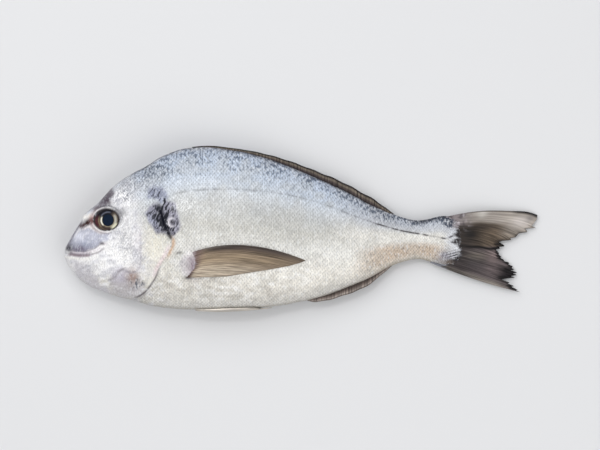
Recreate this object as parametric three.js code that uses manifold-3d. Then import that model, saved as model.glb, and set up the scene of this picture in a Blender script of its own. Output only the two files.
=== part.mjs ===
// A whole gilthead sea bream, lying on its right flank on a flat surface. Millimetres, +Z up.
// The snout points to -X, the back to +Y and the left flank to +Z. The origin is in the middle of the
// fish's box, on the surface that it lies on. It grew as one piece, so it is one solid: the body, the eyes
// and the fins are joined, and the underside is pressed flat where the weight rests.
import * as THREE from "three";
import { mergeVertices } from "three/addons/utils/BufferGeometryUtils.js";
import Module from "manifold-3d";

const wasm = await Module();
wasm.setup();

// Driving dimensions. Heights and depths are measured from the long axis of the fish.
const bodyLength = 232; // snout to the end of the scales on the tail
const backHeight = 54;
const bellyDepth = 42.7;
const bodyThickness = 37.2; // through both flanks at the widest place
const restPress = 1.6; // how far the lower flank is pressed flat
const eyeDiameter = 15;
const eyeBulge = 1.8;
const tailFinLength = 47.7; // end of the scales to the tip of the upper lobe
const tailFinSpread = 44.3; // between the tips of the two lobes
const tailForkDepth = 24.5;
const tailTipRise = 1.2; // middle of the fin's edge above the surface
const dorsalFinLength = 120;
const dorsalFinHeight = 4.2; // folded down
const analFinLength = 50;
const analFinHeight = 4;
const pectoralFinLength = 70;
const pectoralFinWidth = 17;
const pelvicFinLength = 42;
const pelvicFinWidth = 8;
const finRootThickness = 2.4;
const finEdgeThickness = 1;
const grooveWidth = 1.4; // mouth line and gill openings

// Where things sit on the body, as a share of its length and as a level on the flank:
// 1 is the back, 0 the widest place and -1 the belly.
const eyePlace = [0.109, 0.49];
const mouthLine = [[0.095, 0.02], [0.071, -0.04], [0.045, -0.05], [0.022, 0.03], [0.009, 0.1]];
const gillLine = [[0.25, 0.4], [0.276, 0.03], [0.269, -0.22], [0.244, -0.49], [0.216, -0.78], [0.172, -0.94]];
const dorsalFinPlace = 0.323;
const analFinPlace = 0.616;
const pectoralFinPlace = [0.3, -0.4];
const pelvicFinPlace = [0.345, -0.93];

// The body, one row for each section from snout to tail: share of the length, of the back's height,
// of the belly's depth, of the half thickness, and of the middle plane's height at the widest section.
const sections = [
  [0, -0.14, 0.2, 0.02, 0.8],
  [0.004, -0.08, 0.31, 0.17, 0.8],
  [0.017, 0.02, 0.44, 0.34, 0.82],
  [0.039, 0.175, 0.57, 0.46, 0.84],
  [0.065, 0.32, 0.665, 0.555, 0.86],
  [0.095, 0.44, 0.738, 0.645, 0.88],
  [0.134, 0.605, 0.812, 0.742, 0.91],
  [0.194, 0.758, 0.904, 0.871, 0.945],
  [0.259, 0.913, 0.976, 0.962, 0.975],
  [0.345, 0.998, 1, 1, 1],
  [0.444, 0.961, 0.984, 0.968, 0.965],
  [0.56, 0.83, 0.934, 0.817, 0.82],
  [0.668, 0.619, 0.792, 0.613, 0.665],
  [0.754, 0.433, 0.609, 0.441, 0.55],
  [0.832, 0.267, 0.396, 0.312, 0.46],
  [0.901, 0.191, 0.295, 0.237, 0.395],
  [0.953, 0.233, 0.384, 0.165, 0.35],
  [1, 0.269, 0.475, 0.068, 0.32],
];
const widestShare = 0.47; // height of the widest place in a section, from belly to back
const backKeel = 1.25; // over 1 draws a section in towards its edge
const bellyKeel = 1.05;
const ringsAlong = 50;
const pointsAround = 36;

const halfThickness = bodyThickness / 2;
const middleHeight = halfThickness - restPress;
const quarterTurn = Math.PI / 2;
const { lerp, clamp } = THREE.MathUtils;

// Smooth curves through the sections. Each point's x is its place along the body.
const through = (pick) =>
  new THREE.CatmullRomCurve3(sections.map((row) => new THREE.Vector3(row[0] * bodyLength, pick(row), 0)));
const backLine = through((row) => row[1] * backHeight);
const bellyLine = through((row) => -row[2] * bellyDepth);
const sideLine = through((row) => row[3] * halfThickness);
const middleLine = through((row) => row[4] * middleHeight);

// The height of a line at x, found by halving.
function heightAt(line, x) {
  let low = 0;
  let high = 1;
  for (let step = 0; step < 24; step++) {
    const half = (low + high) / 2;
    if (line.getPoint(half).x < x) low = half;
    else high = half;
  }
  return line.getPoint((low + high) / 2).y;
}

// The section at x: its back, belly and widest levels, its half thickness and its middle plane.
function sectionAt(x) {
  const back = heightAt(backLine, x);
  const belly = heightAt(bellyLine, x);
  return {
    x: clamp(x, 0, bodyLength),
    back,
    belly,
    widest: lerp(belly, back, widestShare),
    side: heightAt(sideLine, x),
    middle: heightAt(middleLine, x),
  };
}

// A point on the skin. The angle is 0 on the left flank and a quarter turn at the back.
function skinPoint(section, angle) {
  const rise = Math.sin(angle);
  const out = Math.cos(angle);
  const reach = rise > 0 ? section.back - section.widest : section.widest - section.belly;
  const keel = rise > 0 ? backKeel : bellyKeel;
  return new THREE.Vector3(
    section.x,
    section.widest + reach * rise,
    section.middle + section.side * Math.sign(out) * Math.abs(out) ** keel,
  );
}

// A point on a flank and the direction that its skin faces. side is 1 on the left and -1 on the right.
function flank(share, level, side) {
  const onSkin = (s, l) => {
    const angle = Math.asin(clamp(l, -1, 1));
    return skinPoint(sectionAt(s * bodyLength), side > 0 ? angle : Math.PI - angle);
  };
  const point = onSkin(share, level);
  const along = onSkin(share + 0.01, level).sub(onSkin(share - 0.01, level));
  const up = onSkin(share, level + 0.02).sub(onSkin(share, level - 0.02));
  const facing = along.cross(up).normalize().multiplyScalar(side);
  return { point, facing };
}

// A closed mesh through rows of points. Each row is a closed ring with an even number of points. The two
// ends are closed by strips between the first half of a ring and its second half.
function loft(rings) {
  const count = rings[0].length;
  const last = rings.length - 1;
  const index = [];
  for (let row = 0; row < last; row++) {
    for (let k = 0; k < count; k++) {
      const next = (k + 1) % count;
      const [here, there] = [row * count, (row + 1) * count];
      index.push(here + k, here + next, there + k, here + next, there + next, there + k);
    }
  }
  for (let k = 0; k < count / 2 - 1; k++) {
    const [near, far] = [k, count - 1 - k];
    const end = last * count;
    index.push(near, far, near + 1, near + 1, far, far - 1);
    index.push(end + near, end + near + 1, end + far, end + near + 1, end + far - 1, end + far);
  }
  const geometry = new THREE.BufferGeometry().setFromPoints(rings.flat());
  geometry.setIndex(index);
  return geometry;
}

// A geometry as a solid that can be joined and cut, with its faces turned to point outwards.
function solid(geometry) {
  const plain = geometry.clone();
  plain.deleteAttribute("normal");
  plain.deleteAttribute("uv");
  const merged = mergeVertices(plain, 1e-4);
  const corners = Uint32Array.from(merged.index.array);
  const build = () =>
    new wasm.Manifold(
      new wasm.Mesh({ numProp: 3, vertProperties: merged.getAttribute("position").array, triVerts: corners }),
    );
  const made = build();
  if (made.volume() > 0) return made;
  corners.reverse();
  return build();
}

// A fin: a sheet of points for u from root to tip and v across it, thickened both ways along facing.
function fin(rows, columns, sheet, facing, rootThickness) {
  const rings = [];
  for (let row = 0; row <= rows; row++) {
    const u = row / rows;
    const half = lerp(rootThickness, finEdgeThickness, u) / 2;
    const ring = [];
    for (const side of [1, -1]) {
      for (let k = 0; k <= columns; k++) {
        const v = side > 0 ? k / columns : 1 - k / columns;
        ring.push(sheet(u, v).addScaledVector(facing(u, v), side * half));
      }
    }
    rings.push(ring);
  }
  return solid(loft(rings));
}

const upward = () => new THREE.Vector3(0, 0, 1);

function body() {
  const rings = [];
  for (let row = 0; row <= ringsAlong; row++) {
    const section = sectionAt(backLine.getPoint(row / ringsAlong).x);
    const ring = [];
    for (let k = 0; k < pointsAround; k++) ring.push(skinPoint(section, (4 * quarterTurn * k) / pointsAround));
    rings.push(ring);
  }
  return solid(loft(rings));
}

// An eye is a shallow dome that stands out of the side of the head.
function eye(side) {
  const radius = eyeDiameter / 2;
  const dome = new THREE.SphereGeometry(radius, 20, 12);
  const { point, facing } = flank(...eyePlace, side);
  dome.scale(1, 1, (2 * eyeBulge) / radius);
  dome.applyQuaternion(new THREE.Quaternion().setFromUnitVectors(upward(), facing));
  dome.translate(...point.addScaledVector(facing, -eyeBulge));
  return solid(dome);
}

// The tail fin is a forked fan. Its rays run from inside the end of the body to the trailing edge.
function tailFin() {
  const root = sectionAt(bodyLength - 8);
  const tipX = bodyLength + tailFinLength;
  const upper = root.back - 0.6;
  const trailing = new THREE.CatmullRomCurve3(
    [
      [0, 0],
      [4.5, 0.18],
      [tailForkDepth * 0.66, 0.32],
      [tailForkDepth, 0.44],
      [tailForkDepth * 0.76, 0.59],
      [tailForkDepth * 0.56, 0.78],
      [tailForkDepth * 0.49, 1],
    ].map(([back, down]) => new THREE.Vector3(tipX - back, upper - down * tailFinSpread, tailTipRise)),
  );
  const sheet = (u, v) => {
    const start = new THREE.Vector3(root.x, lerp(upper, root.belly, v), root.middle);
    const end = trailing.getPoint(v);
    const bend = new THREE.Vector3(
      lerp(root.x, tipX, 0.5),
      lerp(upper + 6, root.belly - 9, v),
      lerp(root.middle, tailTipRise, 0.6),
    );
    return new THREE.QuadraticBezierCurve3(start, bend, end).getPoint(u);
  };
  return fin(10, 20, sheet, upward, finRootThickness);
}

// A fin folded down along the back or the belly is a low strip in the middle plane. It runs from its
// root to its edge, and rise gives its height along it, as a share of the full height.
function foldedFin(place, length, height, edge, rise) {
  const outward = edge === "back" ? 1 : -1;
  const rootDepth = 2.5;
  const outline = new THREE.CatmullRomCurve3(rise.map(([along, share]) => new THREE.Vector3(along, share, 0)));
  const sheet = (u, v) => {
    const section = sectionAt(place * bodyLength + v * length);
    const reach = lerp(-rootDepth, heightAt(outline, v) * height, u);
    return new THREE.Vector3(section.x, section[edge] + outward * reach, section.middle);
  };
  return fin(2, 24, sheet, upward, finRootThickness);
}

// A paired fin folded back on the flank is a plate half sunk in the skin.
// spread gives its upper and lower edge from its axis, for u from 0 at the base to 1 at the tip.
function pairedFin(side, place, length, spread) {
  const [share, level] = place;
  const onFlank = (u, v) => {
    const along = share + (u * length) / bodyLength;
    const section = sectionAt(along * bodyLength);
    const reach = section.widest - section.belly;
    const [upper, lower] = spread(u);
    return flank(along, level + lerp(upper, lower, v) / reach, side);
  };
  return fin(14, 5, (u, v) => onFlank(u, v).point, (u, v) => onFlank(u, v).facing, finRootThickness);
}

function pectoralFin(side) {
  const halfWidth = (u) => (pectoralFinWidth * (0.96 + 0.35 * u - 1.26 * u ** 2.6)) / 2;
  const lift = (u) => 4.5 * Math.sin(u * quarterTurn);
  const spread = (u) => [lift(u) + halfWidth(u), lift(u) - halfWidth(u)];
  return pairedFin(side, pectoralFinPlace, pectoralFinLength, spread);
}

function pelvicFin(side) {
  const width = (u) => pelvicFinWidth * (0.34 + 0.5 * u - 0.72 * u ** 2);
  return pairedFin(side, pelvicFinPlace, pelvicFinLength, (u) => [width(u), 0]);
}

// A thin tube along points on the skin, to cut a groove with.
function groove(points) {
  const corners = 6;
  const section = new THREE.Shape();
  for (let k = 0; k < corners; k++) {
    const angle = (4 * quarterTurn * k) / corners;
    const corner = [(Math.cos(angle) * grooveWidth) / 2, (Math.sin(angle) * grooveWidth) / 2];
    if (k === 0) section.moveTo(...corner);
    else section.lineTo(...corner);
  }
  const extrudePath = new THREE.CatmullRomCurve3(points);
  return solid(new THREE.ExtrudeGeometry(section, { steps: 20, bevelEnabled: false, extrudePath }));
}

// The mouth line runs from one corner round the snout to the other.
function mouth() {
  const snout = sectionAt(0);
  const tip = new THREE.Vector3(0, snout.widest, snout.middle);
  const corner = (side) => mouthLine.map(([share, level]) => flank(share, level, side).point);
  return groove([...corner(1), tip, ...corner(-1).reverse()]);
}

// A gill opening follows the rear edge of the gill cover down to the throat.
const gill = (side) => groove(gillLine.map(([share, level]) => flank(share, level, side).point));

// Everything below the surface that the fish lies on.
function underSurface() {
  const span = 2 * (bodyLength + tailFinLength);
  const block = new THREE.BoxGeometry(span, span, bodyThickness);
  block.translate(0, 0, -bodyThickness / 2);
  return solid(block);
}

function seaBream() {
  const dorsalRise = [[0, 0.02], [0.08, 0.22], [0.46, 0.6], [0.68, 0.92], [0.84, 1], [0.94, 0.5], [1, 0.02]];
  const analRise = [[0, 0.02], [0.1, 0.5], [0.35, 0.85], [0.65, 1], [0.9, 0.5], [1, 0.02]];
  const grown = [
    tailFin(),
    foldedFin(dorsalFinPlace, dorsalFinLength, dorsalFinHeight, "back", dorsalRise),
    foldedFin(analFinPlace, analFinLength, analFinHeight, "belly", analRise),
    ...[1, -1].flatMap((side) => [eye(side), pectoralFin(side), pelvicFin(side)]),
  ].reduce((whole, piece) => whole.add(piece), body());
  return [mouth(), gill(1), gill(-1), underSurface()].reduce((whole, cut) => whole.subtract(cut), grown);
}

// The solid as a mesh, with the origin in the middle of its box, on the surface.
function placed(made, name, material) {
  const { vertProperties, triVerts } = made.getMesh();
  const geometry = new THREE.BufferGeometry();
  geometry.setAttribute("position", new THREE.BufferAttribute(vertProperties, 3));
  geometry.setIndex(new THREE.BufferAttribute(triVerts, 1));
  geometry.computeVertexNormals();
  geometry.computeBoundingBox();
  const middle = geometry.boundingBox.getCenter(new THREE.Vector3());
  const mesh = new THREE.Mesh(geometry, material);
  mesh.name = name;
  mesh.position.set(-middle.x, -middle.y, -geometry.boundingBox.min.z);
  return mesh;
}

const skin = new THREE.MeshStandardMaterial({ color: 0xcfcfd0, roughness: 0.32, metalness: 0.35 });

const fish = new THREE.Group();
fish.add(placed(seaBream(), "sea_bream", skin));

export default fish;
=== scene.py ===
# A whole gilthead sea bream, fresh and wet, lying on its right flank on a pale floor.
# The fish is drawn in millimetres in its own frame, X from the snout, Y from its long axis towards the
# back and Z from the floor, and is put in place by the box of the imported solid.
import math

import bpy
import numpy as np
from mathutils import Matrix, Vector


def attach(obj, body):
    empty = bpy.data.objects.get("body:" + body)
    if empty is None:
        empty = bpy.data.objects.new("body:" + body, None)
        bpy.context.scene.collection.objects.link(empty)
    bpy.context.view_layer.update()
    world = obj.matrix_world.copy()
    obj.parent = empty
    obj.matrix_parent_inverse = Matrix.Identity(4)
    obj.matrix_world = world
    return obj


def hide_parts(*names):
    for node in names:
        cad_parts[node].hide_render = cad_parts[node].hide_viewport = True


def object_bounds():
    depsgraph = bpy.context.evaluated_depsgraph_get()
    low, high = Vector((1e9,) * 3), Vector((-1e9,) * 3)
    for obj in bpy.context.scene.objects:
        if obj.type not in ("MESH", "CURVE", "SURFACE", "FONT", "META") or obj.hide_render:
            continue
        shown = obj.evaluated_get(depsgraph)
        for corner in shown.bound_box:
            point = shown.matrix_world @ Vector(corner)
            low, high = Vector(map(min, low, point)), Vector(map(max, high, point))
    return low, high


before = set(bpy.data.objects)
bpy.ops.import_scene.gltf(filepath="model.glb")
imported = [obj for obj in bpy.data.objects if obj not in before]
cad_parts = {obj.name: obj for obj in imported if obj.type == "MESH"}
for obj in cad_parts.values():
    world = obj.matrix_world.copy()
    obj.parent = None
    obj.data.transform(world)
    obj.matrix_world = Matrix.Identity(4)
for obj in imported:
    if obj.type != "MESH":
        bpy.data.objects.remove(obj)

LOW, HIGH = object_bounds()

# ---- Sizes -----------------------------------------------------------------------------------------

DRAWN_LENGTH = 279.7
MM = (HIGH.x - LOW.x) / DRAWN_LENGTH
BELLY_DEPTH = 42.7
ORIGIN = np.array([LOW.x, LOW.y + BELLY_DEPTH * MM, 0.0])
BODY_LENGTH = 236.0
WIDEST = 0.47
EYE_AT = (25.0, 10.8)
EYE_HALF = (7.5, 6.3)  # along the body and up it
SPOT_AT = (64.3, 9.2)

# The body's outline, half thickness and middle plane, at places from snout to tail.
BACK = [(0, -7.4), (0.6, -5.0), (4.1, 1.2), (7.7, 7.1), (13.6, 15.9), (18.9, 20.3), (22.4, 24.0),
        (31.3, 32.6), (47.2, 42.0), (59, 49), (70.8, 53.0), (82.6, 54), (102.7, 51.6), (121, 46.8),
        (156.4, 32.2), (193.5, 14.0), (208.9, 10.3), (224.2, 13.2), (236, 12.6)]
BELLY = [(0, -9.4), (0.5, -13.0), (4.1, -18.9), (8.9, -24.2), (14.8, -28.3), (20.7, -31), (31.9, -34.8),
         (44.3, -38.4), (56.1, -41.3), (70.8, -42.5), (85.6, -42.7), (118, -41.3), (147.5, -36),
         (175.2, -26), (197.7, -14.8), (208.9, -12.6), (221.3, -16), (236, -17.5)]
HALF_THICKNESS = [(0, 0.4), (0.9, 3.2), (4, 6.3), (9, 8.6), (15, 10.4), (22, 12.0), (31, 13.8),
                  (45, 16.2), (60, 17.9), (80, 18.6), (103, 18.0), (130, 15.2), (155, 11.4), (175, 8.2),
                  (193, 5.8), (209, 4.4), (219, 3.1), (225, 2.2), (230, 1.2), (233, 0.6), (236, 0.3)]
MIDDLE = [(0, 13.6), (9, 14.3), (22, 15.0), (45, 16.1), (60, 16.6), (80, 17), (103, 16.4), (130, 13.9),
          (155, 11.3), (175, 9.3), (193, 7.8), (209, 6.7), (221, 5.9), (236, 5.2), (280, 1.3)]
BACK_KEEL = [(0, 0.9), (25, 0.85), (50, 1.05), (80, 1.25), (236, 1.15)]
BELLY_KEEL = [(0, 1.0), (40, 1.05), (90, 0.95), (150, 1.0), (236, 1.1)]

# Lines drawn on the flank.
LATERAL_LINE = [(61, 24.4), (71, 27.1), (80, 28.2), (103, 28.4), (130, 25.6), (152, 20.0), (175, 11.3),
                (186, 7.8), (199, 4.2), (212, 1.9), (221, 0.3), (225, -0.3), (229, 1.1)]
GILL_EDGE = [(55.5, 21.5), (57.6, 14), (60.2, 6), (62.6, 1.2), (63.9, -3), (61.4, -9), (58.4, -14.3),
             (55.9, -18.6), (53.8, -23.6), (51.3, -27.2), (48.8, -30.6), (45, -33.6), (40, -35.4),
             (34, -35.4)]
CHEEK_EDGE = [(44.6, 8), (45.2, -2), (45.4, -13), (44.2, -18), (40, -20.5), (33.5, -19), (29, -22.5)]
MOUTH = [(0.4, -9.3), (4.5, -10.1), (10, -10.4), (14.5, -10.1), (18.5, -9), (21.6, -7.4), (24.2, -5)]
UPPER_JAW = [(2.4, -7.3), (8.9, -7.8), (14.8, -7.4), (18.9, -5.5), (22.4, -3.3)]
SNOUT_EDGE = [(12, 13.4), (11, 12), (8.9, 7.7), (6.5, 4.1), (3.6, -1.2), (1.5, -5.3)]
NOSTRIL = [(16, 10.2), (13.9, 9), (10, 6.9)]
NOSTRIL_RIM = [(11.2, 5.2), (14.5, 6.8), (17.4, 8.6)]
THROAT_FOLD = [(26, -24.8), (29, -23.6), (33, -19.5), (36, -17.6)]
BLOTCH = [(50.2, 18.3), (53.7, 20), (57.2, 19.5), (59.6, 22.4), (63, 21.8), (65.5, 20.6), (66.7, 16.5),
          (67.5, 11.5), (68.4, 8.5), (66.8, 3), (62, 1.2), (59, 2.2), (54.5, 3.2), (52, 7.5),
          (49, 11.5), (48.4, 15)]
BLOTCH_CAP = [(50.7, 28.9), (53.7, 30.6), (56.6, 30), (59, 28.3), (60.8, 24.8), (60.2, 21.8),
              (57.8, 20), (54.9, 21.2), (52.5, 23), (49.6, 23), (49, 25)]
SNOUT_PATCH = [(1.5, -6.6), (2.2, -2), (6.5, 4.0), (9.8, 6.2), (15, 5.4), (20, 3.2), (27.6, 1.8),
               (26, -1), (22.6, -3.1), (18.6, -5.4), (14.7, -7.4), (8.9, -7.9), (3, -7.4)]
BROW_PATCH = [(15.8, 16.8), (19, 19.6), (21, 23.2), (23.5, 26), (27.6, 30.4), (29, 26), (27.6, 23.2),
              (28.4, 20.4), (25, 18.8), (21.5, 17.2), (18.6, 15.9)]
CHIN_PATCH = [(5.5, -15.2), (12, -15.5), (18, -21.5), (22, -27), (30, -33.4), (18, -31), (8, -24)]
THROAT_PATCH = [(28, -22.5), (36, -17.6), (40, -20), (47, -27), (47, -34), (36, -35.5), (30, -33),
                (27, -28)]

# ---- Numbers along lines and over the skin -----------------------------------------------------------


def smooth(low, high, value):
    """0 below low, 1 above high, and an even swing between."""
    t = np.clip((value - low) / (high - low), 0, 1)
    return t * t * (3 - 2 * t)


def bump(distance, width):
    """1 at no distance, falling away over about width."""
    return np.exp(-((distance / width) ** 2))


def oval(x, y, at_x, at_y, along, up, reach):
    """1 at a place, falling away over about reach, which is stretched along the body and up it."""
    return bump(np.hypot((x - at_x) / along, (y - at_y) / up), reach)


def curve(points, root=False):
    """A smooth line through points that never swings past them, as a function of x.
    With root it is drawn over the square root of x, which rounds the snout."""
    xs, ys = np.array(points, float).T
    bend = np.sqrt if root else np.asarray
    xs = bend(xs)
    step = np.diff(xs)
    slope = np.diff(ys) / step
    before, after = slope[:-1], slope[1:]
    same_way = before * after > 0
    wb, wa = (2 * step[1:] + step[:-1])[same_way], (step[1:] + 2 * step[:-1])[same_way]
    even = np.zeros(len(before))
    even[same_way] = (wb + wa) / (wb / before[same_way] + wa / after[same_way])
    lean = np.concatenate([slope[:1], even, slope[-1:]])

    def read(x):
        x = bend(np.clip(x, 0, None))
        k = np.clip(np.searchsorted(xs, x) - 1, 0, len(step) - 1)
        t = np.clip((x - xs[k]) / step[k], 0, 1)
        rise = t * t * (3 - 2 * t)
        return (ys[k] * (1 - rise) + ys[k + 1] * rise
                + step[k] * (lean[k] * t * (1 - t) ** 2 - lean[k + 1] * t * t * (1 - t)))

    return read


def trace(points, closed=False, pieces=5):
    """A Catmull-Rom curve through points, as a list of short straight stretches."""
    p = np.array(points, float)
    ends = (p[-1:], p[:2]) if closed else (2 * p[:1] - p[1:2], 2 * p[-1:] - p[-2:-1])
    p = np.concatenate([ends[0], p, ends[1]])
    t = np.linspace(0, 1, pieces, endpoint=False)[:, None]
    runs = []
    for a, b, c, d in zip(p, p[1:], p[2:], p[3:]):
        bend, twist = 2 * a - 5 * b + 4 * c - d, 3 * b - a - 3 * c + d
        runs.append(0.5 * (2 * b + (c - a) * t + bend * t**2 + twist * t**3))
    return np.concatenate([*runs, p[-2:-1]])


def beside(x, y, points, closed=False):
    """Distance from a traced line, the side of it (1 on its left, going along) and the share along it."""
    path = trace(points, closed)
    lengths = np.linalg.norm(np.diff(path, axis=0), axis=1)
    starts = np.concatenate([[0], np.cumsum(lengths)])
    best = np.full(x.shape, 1e9)
    side = np.ones(x.shape)
    along = np.zeros(x.shape)
    for (ax, ay), (bx, by), start, length in zip(path, path[1:], starts, lengths):
        dx, dy = bx - ax, by - ay
        t = np.clip(((x - ax) * dx + (y - ay) * dy) / length**2, 0, 1)
        gap = np.hypot(x - ax - t * dx, y - ay - t * dy)
        nearer = gap < best
        best = np.where(nearer, gap, best)
        side = np.where(nearer, np.where(dx * (y - ay) - dy * (x - ax) > 0, 1.0, -1.0), side)
        along = np.where(nearer, (start + t * length) / starts[-1], along)
    return best, side, along


def within(x, y, outline, soft=1.0):
    """1 inside a closed outline and 0 outside it, over a soft edge."""
    gap, _, _ = beside(x, y, outline, closed=True)
    path = trace(outline, closed=True)
    inside = np.zeros(x.shape, bool)
    for (ax, ay), (bx, by) in zip(path, path[1:]):
        crosses = (ay > y) != (by > y)
        inside ^= crosses & (x < ax + (y - ay) * (bx - ax) / np.where(by == ay, 1, by - ay))
    return smooth(-soft, soft, np.where(inside, gap, -gap))


def grain(x, y, size, seed=0):
    """Smooth chance values from -1 to 1 that change over about size millimetres."""
    u, v = x / size + 37 * seed, y / size - 23 * seed
    iu, iv = np.floor(u), np.floor(v)
    fu, fv = smooth(0, 1, u - iu), smooth(0, 1, v - iv)

    def corner(a, b):
        value = np.sin(a * 127.1 + b * 311.7 + seed * 74.7) * 43758.5453
        return value - np.floor(value)

    low = corner(iu, iv) * (1 - fu) + corner(iu + 1, iv) * fu
    high = corner(iu, iv + 1) * (1 - fu) + corner(iu + 1, iv + 1) * fu
    return 2 * (low * (1 - fv) + high * fv) - 1


def wander(x, y, amount, size):
    """The same places moved about unevenly, which makes what is drawn there ragged."""
    return x + amount * grain(x, y, size, 6), y + amount * grain(x, y, size, 7)


back_line = curve(BACK, root=True)
belly_line = curve(BELLY, root=True)
half_thickness = curve(HALF_THICKNESS, root=True)
middle_plane = curve(MIDDLE)
back_keel = curve(BACK_KEEL)
belly_keel = curve(BELLY_KEEL)
lateral_line = curve(LATERAL_LINE)


def widest_level(x):
    """How far up the body its widest place is."""
    low = belly_line(x)
    return low + (back_line(x) - low) * WIDEST


def reach_from(x, widest, above):
    """From the widest place to the back, where above is true, or to the belly."""
    return np.where(above, back_line(x) - widest, widest - belly_line(x))


def keel_at(x, above):
    """How sharply the section turns at the back, where above is true, or at the belly."""
    return np.where(above, back_keel(x), belly_keel(x))


def hull(x, turn):
    """Points on the smooth body. turn is 0 on the left flank and a quarter turn at the back."""
    widest = widest_level(x)
    rise, out = np.sin(turn), np.cos(turn)
    z = middle_plane(x) + half_thickness(x) * np.sign(out) * np.abs(out) ** keel_at(x, rise > 0)
    return np.stack([x, widest + reach_from(x, widest, rise > 0) * rise, z], axis=-1)


def turn_of(points):
    """The turn round the body of points that lie on it."""
    x, y, z = points.T
    widest = widest_level(x)
    rise = np.clip((y - widest) / np.maximum(reach_from(x, widest, y > widest), 0.01), -1, 1)
    out = (z - middle_plane(x)) / np.maximum(half_thickness(x), 0.01)
    return np.arctan2(rise, np.sign(out) * np.abs(out) ** (1 / keel_at(x, y > widest)))


def on_flank(x, y, side):
    """Points on the smooth body at x and y, on the left flank (side 1) or the right (side -1)."""
    widest = widest_level(x)
    turn = np.arcsin(np.clip((y - widest) / reach_from(x, widest, y > widest), -1, 1))
    return hull(x, np.where(side > 0, turn, np.pi - turn))


# ---- Meshes ------------------------------------------------------------------------------------------


def deselect():
    bpy.ops.object.select_all(action="DESELECT")


def read(piece):
    """The vertices of a piece, in millimetres in the fish's own frame."""
    co = np.zeros(len(piece.data.vertices) * 3)
    piece.data.vertices.foreach_get("co", co)
    return (co.reshape(-1, 3) - ORIGIN) / MM


def write(piece, points):
    piece.data.vertices.foreach_set("co", (points * MM + ORIGIN).ravel())
    piece.data.update()


def facing(piece):
    """The direction that the surface faces at each vertex."""
    normals = np.zeros(len(piece.data.vertices) * 3)
    piece.data.vertex_normals.foreach_get("vector", normals)
    return normals.reshape(-1, 3)


def finish_modifier(piece, kind, **values):
    """Adds one modifier to the piece and applies it."""
    modifier = piece.modifiers.new(kind.title(), kind)
    for key, value in values.items():
        setattr(modifier, key, value)
    bpy.context.view_layer.objects.active = piece
    bpy.ops.object.modifier_apply(modifier=modifier.name)


def store(piece, name, values):
    """Keeps one number, or one colour, for each vertex under that name."""
    colour = values.ndim == 2
    attribute = piece.data.attributes.new(name, "FLOAT_COLOR" if colour else "FLOAT", "POINT")
    if colour:
        values = np.concatenate([values, np.ones((len(values), 1))], axis=1)
    numbers = np.ascontiguousarray(values, np.float32).ravel()
    attribute.data.foreach_set("color" if colour else "value", numbers)


def store_map(piece, name, u, v):
    """Keeps a UV map that has one u and v for each vertex."""
    corners = np.zeros(len(piece.data.loops), np.int32)
    piece.data.loops.foreach_get("vertex_index", corners)
    layer = piece.data.uv_layers.new(name=name)
    layer.data.foreach_set("uv", np.stack([u[corners], v[corners]], axis=1).astype(np.float32).ravel())


def finish_piece(piece, name, material):
    """Names a finished piece, smooths its shading and fixes it to the fish."""
    piece.name = piece.data.name = name
    deselect()
    piece.select_set(True)
    bpy.context.view_layer.objects.active = piece
    bpy.ops.object.shade_smooth()
    piece.data.materials.clear()
    piece.data.materials.append(material)
    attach(piece, "root")


def tint(red, green, blue):
    """A display colour, 0 to 255, as the linear one that a material wants."""
    c = np.array([red, green, blue]) / 255
    return np.where(c > 0.04045, ((c + 0.055) / 1.055) ** 2.4, c / 12.92)


def coat(count, tone):
    """One display colour for each of count points."""
    return np.tile(tint(*tone), (count, 1))


def lay(colour, mask, tone):
    """Lays a display colour over the others where the mask is 1."""
    return colour + (tint(*tone) - colour) * np.clip(mask, 0, 1)[:, None]


def dab(colour, x, y, spots):
    """Lays soft oval spots. Each has its place, its stretch along the body and up it, its reach, its
    strength and its colour."""
    for at_x, at_y, along, up, reach, strength, tone in spots:
        colour = lay(colour, oval(x, y, at_x, at_y, along, up, reach) * strength, tone)
    return colour


def stripe(colour, line, stripes):
    """Lays stripes along a line, which is given as beside gives it. Each has the side that it keeps to (0
    for both), its distance from the line, its width, the shares of the line's length between which it comes
    in and between which it fades, its strength and its colour."""
    gap, side, along = line
    for on, offset, width, comes, fades, strength, tone in stripes:
        mask = bump(gap - offset, width) * strength
        if on:
            mask = mask * (side == on)
        if comes:
            mask = mask * smooth(*comes, along)
        if fades:
            mask = mask * (1 - smooth(*fades, along))
        colour = lay(colour, mask, tone)
    return colour


# ---- Scales ------------------------------------------------------------------------------------------

SCALE_LENGTH = [(0, 1.9), (60, 2.0), (120, 2.1), (180, 1.9), (236, 1.5)]
SCALE_WIDTH = [(0, 2.3), (60, 2.4), (120, 2.6), (180, 2.4), (236, 1.6)]
SCALE_REACH = 0.66  # how far a scale's rounded edge stands behind its middle, in scale lengths


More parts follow.
